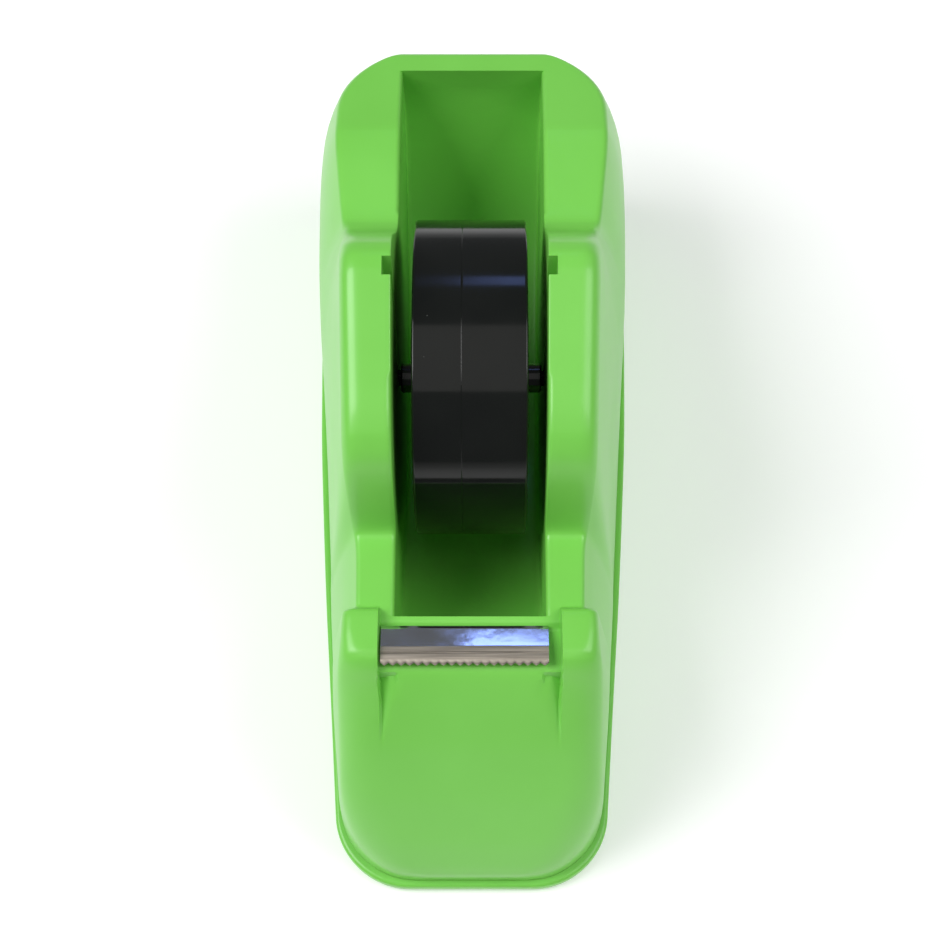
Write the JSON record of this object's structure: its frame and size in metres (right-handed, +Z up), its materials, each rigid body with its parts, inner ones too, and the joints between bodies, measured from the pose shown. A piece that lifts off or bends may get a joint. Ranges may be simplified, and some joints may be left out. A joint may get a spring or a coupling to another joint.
{
  "type": "desk tape dispenser",
  "caption": "Weighted desk tape dispenser with an open well, a lift-out wheel for wide-core tape rolls and a serrated steel blade above a sloping front.",
  "frame": {"origin": "on the table, under the middle of the base plate's length and width", "axes": "+X to the right seen from the blade end, +Y from the blade end towards the back, +Z up; the wheel's axis runs along X"},
  "size_m": [0.0832, 0.206, 0.1054],
  "materials": {
    "green_plastic": "smooth moulded, satin-gloss lime green",
    "black_plastic": "glossy black moulded",
    "blade_steel": "bright plated steel, satin along the serrated front",
    "screw_steel": "zinc plated",
    "ballast_iron": "as cast",
    "foot_rubber": "matt black"
  },
  "bodies": {
    "stand": {"housing": "green_plastic", "base_plate": "green_plastic", "blade": "blade_steel", "ballast_front": "ballast_iron", "ballast_left": "ballast_iron", "ballast_right": "ballast_iron", "base_screw_front_left": "screw_steel", "base_screw_front_right": "screw_steel", "base_screw_rear_left": "screw_steel", "base_screw_rear_right": "screw_steel", "rubber_foot_front_left": "foot_rubber", "rubber_foot_front_right": "foot_rubber", "rubber_foot_rear_left": "foot_rubber", "rubber_foot_rear_right": "foot_rubber"},
    "axle_pin": {"axle": "black_plastic"},
    "wheel": {"wheel_left_half": "black_plastic", "wheel_right_half": "black_plastic", "hub_sleeve": "black_plastic"}
  },
  "joints": [
    {"name": "axle_lift", "type": "slide", "parent": "stand", "child": "axle_pin", "axis": [0, 0.075, 0.9972], "range_m": [0, 0.09]},
    {"name": "wheel_spin", "type": "hinge", "parent": "axle_pin", "child": "wheel", "pos_m": [0, 0.0074, 0.06], "axis": [1, 0, 0], "continuous": true}
  ]
}
